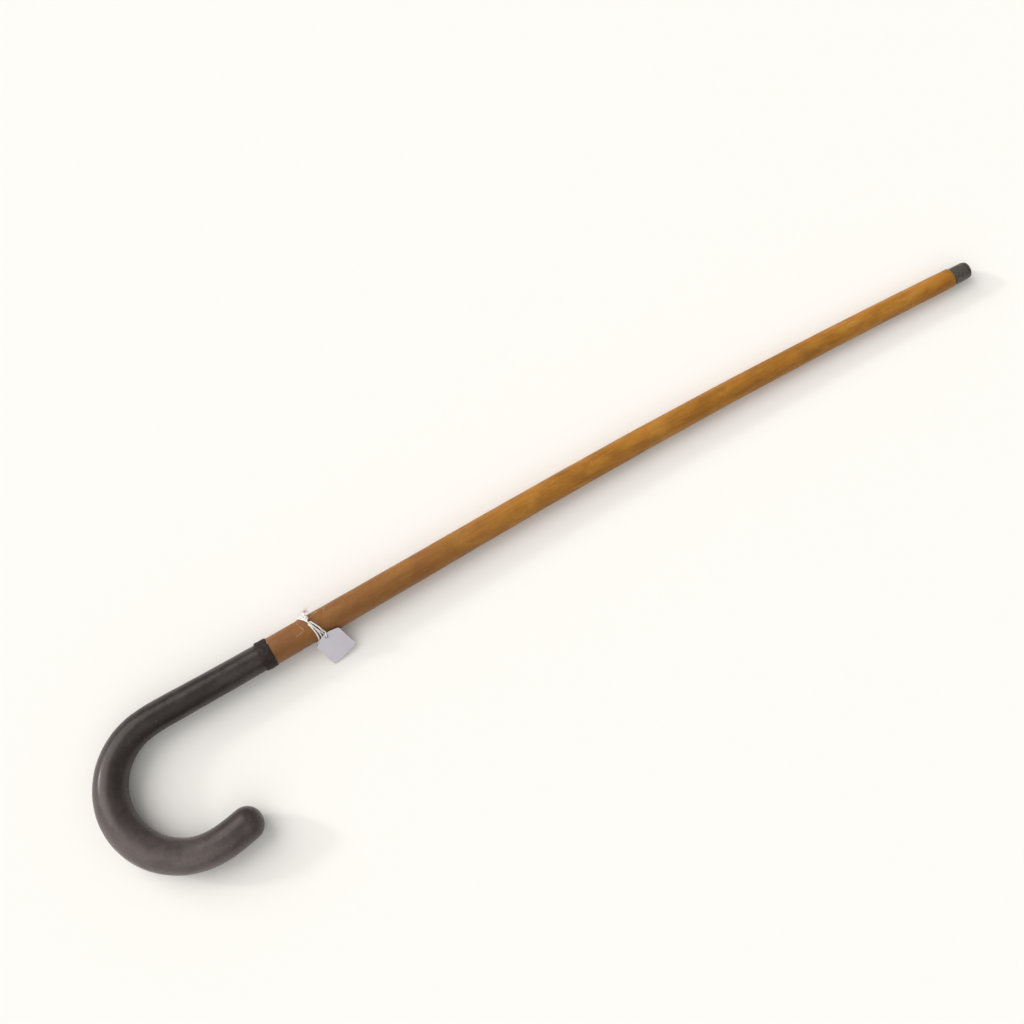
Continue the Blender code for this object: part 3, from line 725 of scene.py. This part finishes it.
def natural_wood(at, angle, radius):
    """A grown stick's outline: slightly oval, with long soft swellings."""
    swelling = 0.00014 * noise.noise(Vector((at / 0.045, 3 * math.cos(angle) * 0.4, 2)))
    soft = 0.00010 * lumps(at * 0.5, angle, radius, 0.010, 11)
    oval = 0.00008 * math.cos(2 * angle + 3 * at)
    return at, radius - 0.00012 + swelling + soft + oval


def build_shaft(wood):
    """The shaft from the ferrule's top to the collar; its tenon stays inside the ferrule."""
    shoulder = FERRULE_TOP + GAP
    tenon = FERRULE_R - FERRULE_WALL - GAP
    bevel = 0.0006
    profile = [(shoulder, 0), (shoulder, tenon), (shoulder, SHAFT_R_TIP - 0.0005)]
    profile += [(shoulder + bevel * 0.4, SHAFT_R_TIP - 0.00015)]
    profile += along(shoulder + bevel, COLLAR_AT - GAP, 420, shaft_radius)
    profile += [(COLLAR_AT - GAP, 0.006), (COLLAR_AT - GAP, 0)]

    def shape(at, angle, radius):
        if radius < tenon + 0.0001:
            return at, radius
        return natural_wood(at, angle, radius)

    shaft = add_turned("shaft_wood", profile, wood, sides=96, shape=shape)
    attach(shaft, STICK)
    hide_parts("shaft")


def build_ferrule(tube, steel):
    """The dented tube and, plugged into its end, the hard tip that wears on the ground."""
    inner = FERRULE_R - FERRULE_WALL
    low = TIP_RIM_END + GAP
    profile = [(low, inner)]
    profile += rounded(low + EDGE_R, FERRULE_R, low, FERRULE_R - EDGE_R)[::-1]
    profile += along(low + 0.0006, FERRULE_TOP - 0.0005, 22, lambda at: FERRULE_R)
    profile += rounded(FERRULE_TOP - 0.0003, FERRULE_R, FERRULE_TOP, FERRULE_R - 0.0003, 4)
    profile += [(FERRULE_TOP, inner)]

    def dented(at, angle, radius):
        if radius <= inner + 0.0001:
            return at, radius
        return at, radius - INSET + 0.00013 * lumps(at, angle, radius, 0.0045, 21)

    ferrule = add_turned("ferrule_tube", profile, tube, ring=True, sides=96, shape=dented)
    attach(ferrule, STICK)
    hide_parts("ferrule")

    plug = inner - GAP
    profile = [(0.0, 0), (0.0, TIP_FACE_R * 0.5)]
    profile += rounded(TIP_EDGE, TIP_RIM_R, 0.0, TIP_FACE_R, 14)[::-1]
    profile += [(TIP_RIM_END, TIP_RIM_R), (TIP_RIM_END, plug), (TIP_PLUG_END, plug)]
    profile += [(TIP_PLUG_END, 0)]

    def worn(at, angle, radius):
        edge = 0.00012 * lumps(at, angle, radius, 0.003, 31)
        return at, radius - INSET + (edge if 0.0001 < at < TIP_RIM_END else 0)

    tip = add_turned("ferrule_tip_worn", profile, steel, sides=96, shape=worn, smooth_angle=40)
    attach(tip, STICK)
    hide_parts("ferrule_tip")
    build_pin(steel)


def build_pin(steel):
    """The round head of the pin that holds the ferrule."""
    up, inward = axes(PIN_AT)
    out = inward * math.cos(PIN_ANGLE) + Vector((0, 0, math.sin(PIN_ANGLE)))
    turn = Matrix((up, -out.cross(up), out)).transposed().to_4x4()
    place = LIE @ Matrix.Translation(centre(PIN_AT)) @ turn
    seat, crown = FERRULE_R + 0.0001, FERRULE_R + 0.00055
    rings = [(FERRULE_R - 0.0036, 0), (FERRULE_R - 0.0030, PIN_R), (seat, PIN_R)]
    rings += [(seat, PIN_HEAD_R)]
    rings += rounded(FERRULE_R + 0.00015, PIN_HEAD_R, crown, 0, 7)[:-1] + [(crown, 0)]
    sides = 28
    points, rows = [], []
    for height, radius in rings:
        count = sides if radius > 0 else 1
        rows.append(range(len(points), len(points) + count))
        for i in range(count):
            angle = 2 * math.pi * i / sides
            around = Vector((radius * math.cos(angle), radius * math.sin(angle), height))
            points.append(place @ around)
    pin = add_mesh("ferrule_pin_head", points, rows_to_faces(rows, sides), steel)
    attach(pin, STICK)
    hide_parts("ferrule_pin")


# --- String and tag, in the pivot's frame: X towards the ferrule, Z up ---

def pivot_matrix():
    up, inward = axes(STRING_AT)
    turn = Matrix((-up, -inward, Vector((0, 0, 1)))).transposed().to_4x4()
    return LIE @ Matrix.Translation(centre(STRING_AT)) @ turn


PIVOT = pivot_matrix()


def round_shaft(degrees, above, x):
    """Point at an angle round the shaft, above its surface, and x along it from the pivot."""
    radius = shaft_radius(STRING_AT) + above
    angle = math.radians(degrees)
    return Vector((x, radius * math.cos(angle), radius * math.sin(angle)))


def tag_matrix():
    """Frame at the tag's hole: X across the card, Y up it to its hole end, Z out of its face."""
    out = Vector((0, -math.sin(TAG_LEAN), math.cos(TAG_LEAN)))
    down = Vector((0, -math.cos(TAG_LEAN), -math.sin(TAG_LEAN)))
    hole = out * TAG_PLANE + down * TAG_BELOW + Vector((TAG_AT, 0, 0))
    lean = Matrix.Rotation(TAG_LEAN, 4, "X")
    twist = Matrix.Rotation(TAG_TWIST, 4, "Z")
    return Matrix.Translation(hole) @ lean @ twist


def on_tag(x, y, z):
    """Point in millimetres from the tag's hole, in the tag's own directions."""
    return tag_matrix() @ (Vector((x, y, z)) / 1000)


def build_string_loop(string):
    """Two turns of string round the shaft; the first crosses over at the knot."""
    middle, cosine, sine = LOOP_SLANT
    first, last = CROSSING_ANGLE - 4, CROSSING_ANGLE + 14 - 2 * 360
    route = []
    for degrees in np.linspace(first, last, 300):
        angle = math.radians(degrees)
        share = min(max((SWAP_START - 360 - degrees) / (SWAP_START - SWAP_END), 0), 1)
        spread = (1 - math.cos(math.radians(degrees - CROSSING_ANGLE))) / 2
        x = middle + cosine * math.cos(angle) + sine * math.sin(angle)
        x += math.cos(math.pi * share) * (LOOP_APART + LOOP_SPREAD * spread)
        lift = SWAP_LIFT * math.sin(math.pi * share) ** 2
        route.append(PIVOT @ round_shaft(degrees, GAP + STRING_R + lift, x))
    loop = add_rope("string_loop_twine", route, STRING_R * 1.08, string)
    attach(loop, TAG)
    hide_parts("string_loop")


def string_route():
    """Points of the free string, the same as the CAD's."""
    low = GAP + STRING_R
    high = 2 * GAP + 3 * STRING_R
    return [
        round_shaft(76, high + 0.0014, 0.0006),
        round_shaft(86, high + 0.0011, 0.0016),
        round_shaft(97, high + 0.0006, 0.0027),
        round_shaft(108, high + 0.0001, 0.0039),
        round_shaft(117, high - 0.0001, 0.0049),
        round_shaft(126, low + 0.0006, 0.0059),
        round_shaft(134, low + 0.0001, 0.0066),
        on_tag(0.1, 2.7, -1.20),
        on_tag(0.1, 1.3, -1.20),
        on_tag(0.0, 0.3, -0.75),
        on_tag(0.0, -0.1, 0.0),
        on_tag(0.2, 0.3, 0.85),
        on_tag(0.6, 1.5, 1.30),
        on_tag(1.3, 3.0, 1.30),
        on_tag(2.3, 4.6, 1.25),
        round_shaft(124, high + 0.0010, 0.0078),
        round_shaft(113, high + 0.0007, 0.0070),
        round_shaft(102, high + 0.0006, 0.0058),
        round_shaft(91, high + 0.0009, 0.0043),
        round_shaft(80, high + 0.0013, 0.0026),
    ]


def fibres(name, root, direction, reach, finish, seed):
    """A tuft of fine cotton fibres that leave one point and taper, none longer than reach."""
    count, steps, radius = 46, 7, 0.00008
    root_spread, heading_spread, waviness = 0.00018, 0.62, 0.22
    rng = np.random.default_rng(seed)
    hairs = []
    for k in range(count):
        path = [root + Vector(rng.normal(0, root_spread, 3))]
        heading = (direction + Vector(rng.normal(0, heading_spread, 3)) * 0.5).normalized()
        length = reach * rng.uniform(0.45, 1.0)
        for _ in range(steps):
            heading = (heading + Vector(rng.normal(0, waviness, 3))).normalized()
            path.append(path[-1] + heading * length / steps)
        hairs.append(add_rope(f"{name}_{k}", path, radius, finish, 2, 0.01, 5,
                              lambda share: 1.0 - 0.6 * share))
    return join(name, hairs)


def build_knot(string, blush):
    """The string's two ends: wound round each other off the crossing, tied over once, frayed."""
    base = 2 * GAP + 2 * STRING_R + KNOT_R
    twist, wrap_turns = 3.4, 1.8

    def bundle(share):
        """Point on the knot's middle line, from 0 at the crossing to 1 at its end."""
        degrees = KNOT_START + (KNOT_END - KNOT_START) * share
        above = base + KNOT_RISE * math.sin(math.pi / 2 * max(share, 0))
        return round_shaft(degrees, above, KNOT_AT - KNOT_DRIFT * share)

    def beside(share, turn, reach):
        """Point at a reach from the bundle's middle, turned round it."""
        ahead = (bundle(share + 0.02) - bundle(share - 0.02)).normalized()
        side = Vector((1, 0, 0)) - ahead * ahead.x
        side.normalize()
        across = ahead.cross(side)
        return bundle(share) + (side * math.cos(turn) + across * math.sin(turn)) * reach

    pieces = []
    for phase in (0, math.pi):
        path = [PIVOT @ beside(share, phase + twist * share, TAIL_APART)
                for share in np.linspace(-0.34, 1.0, 40)]
        pieces.append(add_rope(f"tail_{phase:.0f}", path, STRING_R * 1.05, string))
    wrap = [PIVOT @ beside(-0.18 + 0.22 * t, 2 * math.pi * wrap_turns * t, WRAP_REACH)
            for t in np.linspace(0, 1, 60)]
    pieces.append(add_rope("wrap", wrap, STRING_R * 0.72, string))
    knot = join("string_knot_tied", pieces)
    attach(knot, TAG)
    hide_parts("string_knot")
    turn = PIVOT.to_3x3()
    ahead = turn @ (bundle(1.0) - bundle(0.9)).normalized()
    out = turn @ bundle(1.0).normalized()
    along_shaft = turn @ Vector((1, 0, 0))
    # each tuft: which side of the knot's end it leaves, its direction, its reach, its cotton
    tufts = ((-1, ahead + out * 0.2 - along_shaft * 0.5, 0.0036, string),
             (1, ahead + out * 0.2 + along_shaft * 1.9, 0.0064, blush),
             (0, ahead + out * 0.4, 0.0034, string))
    for k, (side, direction, reach, finish) in enumerate(tufts):
        root = PIVOT @ bundle(0.97) + along_shaft * 0.0006 * side
        tuft = fibres(f"frayed_end_{k}", root, direction, reach, finish, 40 + k)
        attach(tuft, TAG)


def build_tag_string(string):
    """The limp string that holds the card, as one cord."""
    route = [PIVOT @ p for p in smooth_path(string_route(), 46)]
    fine = smooth_path(route, 240)
    cord = add_rope("tag_string_twine", fine, STRING_R, string)
    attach(cord, TAG)
    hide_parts("tag_string")


def card_outline():
    """Points round the card, measured from its hole, with an even curve across each corner."""
    side = TAG_WIDTH / 2
    top, bottom = TAG_HOLE_DOWN, TAG_HOLE_DOWN - TAG_LENGTH
    corners = [(side, top - TAG_CLIP_DOWN), (side - TAG_CLIP_ACROSS, top)]
    corners += [(TAG_CLIP_ACROSS - side, top), (-side, top - TAG_CLIP_DOWN)]
    corners += [(-side, bottom), (side, bottom)]
    corners = [Vector(corner) for corner in corners]
    bends = []
    for before, corner, after in zip(corners[-1:] + corners, corners, corners[1:] + corners[:1]):
        start = corner + (before - corner).normalized() * TAG_CORNER
        end = corner + (after - corner).normalized() * TAG_CORNER
        bends.append([start * (1 - t) ** 2 + corner * 2 * t * (1 - t) + end * t ** 2
                      for t in np.linspace(0, 1, 7)])
    outline = []
    for bend, following in zip(bends, bends[1:] + bends[:1]):
        outline += bend
        steps = max(int((following[0] - bend[-1]).length / TAG_EDGE_STEP), 1)
        outline += [bend[-1].lerp(following[0], k / steps) for k in range(1, steps)]
    return outline


def build_tag_card(paper):
    """The blank card: sloping shoulders at its hole end, a punched hole, a slight curl."""
    outline = card_outline()
    bm = bmesh.new()
    verts = [bm.verts.new((x, y, 0)) for x, y in outline]
    edges = [bm.edges.new((a, b)) for a, b in zip(verts, verts[1:] + verts[:1])]
    ring, hole_sides = [], 28
    for i in range(hole_sides):
        angle = 2 * math.pi * i / hole_sides
        place = (TAG_HOLE_R * math.cos(angle), TAG_HOLE_R * math.sin(angle), 0)
        ring.append(bm.verts.new(place))
    edges += [bm.edges.new((a, b)) for a, b in zip(ring, ring[1:] + ring[:1])]
    bmesh.ops.triangle_fill(bm, use_beauty=True, edges=edges)
    for _ in range(3):
        long_edges = [edge for edge in bm.edges
                      if edge.calc_length() > TAG_EDGE_STEP and not edge.is_boundary]
        bmesh.ops.subdivide_edges(bm, edges=long_edges, cuts=1)
        bmesh.ops.triangulate(bm, faces=bm.faces)
    flat = bpy.data.meshes.new("tag_flat")
    bm.to_mesh(flat)
    bm.free()
    points = np.array([vertex.co[:] for vertex in flat.vertices])
    triangles = [tuple(polygon.vertices) for polygon in flat.polygons]
    edge_use = {}
    for tri in triangles:
        for a, b in zip(tri, tri[1:] + tri[:1]):
            edge_use.setdefault(frozenset((a, b)), []).append((a, b))
    rim = [uses[0] for uses in edge_use.values() if len(uses) == 1]
    count = len(points)
    straight, solid = [], []
    for level in (1, -1):
        for x, y, _ in points:
            curl = 0.00035 * math.cos(x * 190) * min(1, max(0, (TAG_HOLE_DOWN - y) / 0.02))
            curl += 0.00025 * noise.noise(Vector((x, y, 0)) * 160)
            z = curl + level * TAG_THICKNESS / 2 * 0.8    # thinner, to stay inside the CAD's
            straight.append((x, y, z))
            solid.append(PIVOT @ tag_matrix() @ Vector((x, y, z)))
    faces = list(triangles)
    faces += [tuple(point + count for point in reversed(tri)) for tri in triangles]
    faces += [(b, a, a + count, b + count) for a, b in rim]
    card = add_mesh("tag_card_paper", solid, faces, paper, 35, straight)
    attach(card, TAG)
    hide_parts("tag_card")
    return card


# --- Floor, light and camera ---

def add_floor():
    half = FLOOR_HALF
    corners = [(-half, -half, 0), (half, -half, 0), (half, half, 0), (-half, half, 0)]
    mesh = bpy.data.meshes.new("floor")
    mesh.from_pydata(corners, [], [(0, 1, 2, 3)])
    mesh.materials.append(plain_floor())
    floor = bpy.data.objects.new("floor", mesh)
    floor.location.z = -FLOOR_DROP
    bpy.context.collection.objects.link(floor)


def add_sun(name, bearing, height, width, strength, colour):
    lamp = bpy.data.lights.new(name, "SUN")
    lamp.angle = math.radians(width)
    lamp.energy = strength
    lamp.color = colour
    thing = bpy.data.objects.new(name, lamp)
    turn, rise = math.radians(bearing), math.radians(height)
    towards = Vector((math.cos(turn) * math.cos(rise), math.sin(turn) * math.cos(rise),
                      math.sin(rise)))
    thing.rotation_euler = towards.to_track_quat("Z", "Y").to_euler()
    bpy.context.collection.objects.link(thing)


def add_studio():
    """Floor, sky and suns; past the floor the camera sees a plain backdrop, not the sky."""
    add_floor()
    world = bpy.data.worlds.new("studio")
    world.use_nodes = True
    nodes, links = world.node_tree.nodes, world.node_tree.links
    sky = nodes["Background"]
    sky.inputs["Color"].default_value = SKY_COLOUR
    sky.inputs["Strength"].default_value = SKY_STRENGTH
    backdrop = nodes.new("ShaderNodeBackground")
    backdrop.inputs["Color"].default_value = BACKDROP_COLOUR
    ray = nodes.new("ShaderNodeLightPath")
    either = nodes.new("ShaderNodeMixShader")
    links.new(ray.outputs["Is Camera Ray"], either.inputs["Fac"])
    links.new(sky.outputs["Background"], either.inputs[1])
    links.new(backdrop.outputs["Background"], either.inputs[2])
    links.new(either.outputs["Shader"], nodes["World Output"].inputs["Surface"])
    bpy.context.scene.world = world
    for name, settings in SUNS.items():
        add_sun(name, *settings)
    view = bpy.context.scene.view_settings
    view.view_transform = "Standard"
    view.look = "None"


def add_camera():
    """The photograph's viewing angle."""
    forward = Vector((math.sin(CAMERA_HEADING) * math.cos(CAMERA_DOWN),
                      math.cos(CAMERA_HEADING) * math.cos(CAMERA_DOWN),
                      -math.sin(CAMERA_DOWN)))
    level = Vector((math.cos(CAMERA_HEADING), -math.sin(CAMERA_HEADING), 0))
    above = level.cross(forward)
    right = level * math.cos(CAMERA_ROLL) + above * math.sin(CAMERA_ROLL)
    up = above * math.cos(CAMERA_ROLL) - level * math.sin(CAMERA_ROLL)
    data = bpy.data.cameras.new("camera")
    data.lens = CAMERA_LENS
    data.sensor_width = CAMERA_SENSOR
    data.clip_start = 0.01
    camera = bpy.data.objects.new("camera", data)
    turn = Matrix((right, up, -forward)).transposed().to_4x4()
    camera.matrix_world = Matrix.Translation(TIP + CAMERA_FROM_TIP) @ turn
    bpy.context.collection.objects.link(camera)
    bpy.context.scene.camera = camera


def dress_hidden_wood(wood):
    """The CAD's core and dowel stay as they are, in bare wood."""
    for name in ("handle_core", "joint_dowel"):
        node = frame["nodes"][name]
        if not node.material_slots:
            node.data.materials.append(wood)
        for held in node.material_slots:
            held.material = wood


def main():
    add_studio()
    add_camera()
    leather = handle_leather("dark_leather", HANDLE_SHADES, 0.36, 0.34)
    collar = handle_leather("collar_leather", COLLAR_SHADES, 0.52, 0.03)
    string = cotton("cotton", COTTON_WHITE)
    card = build_tag_card(tag_paper())
    build_tag_string(string)
    build_string_loop(string)
    build_knot(string, cotton("frayed_cotton", COTTON_PINK))
    build_cover(leather)
    build_nose_patch(leather)
    build_collar_band(collar)
    build_seam(waxed_thread())
    build_shaft(varnished_wood())
    build_ferrule(dull_metal("ferrule_metal", *FERRULE_SHADES),
                  dull_metal("tip_steel", *STEEL_SHADES))
    dress_hidden_wood(bare_wood())


main()
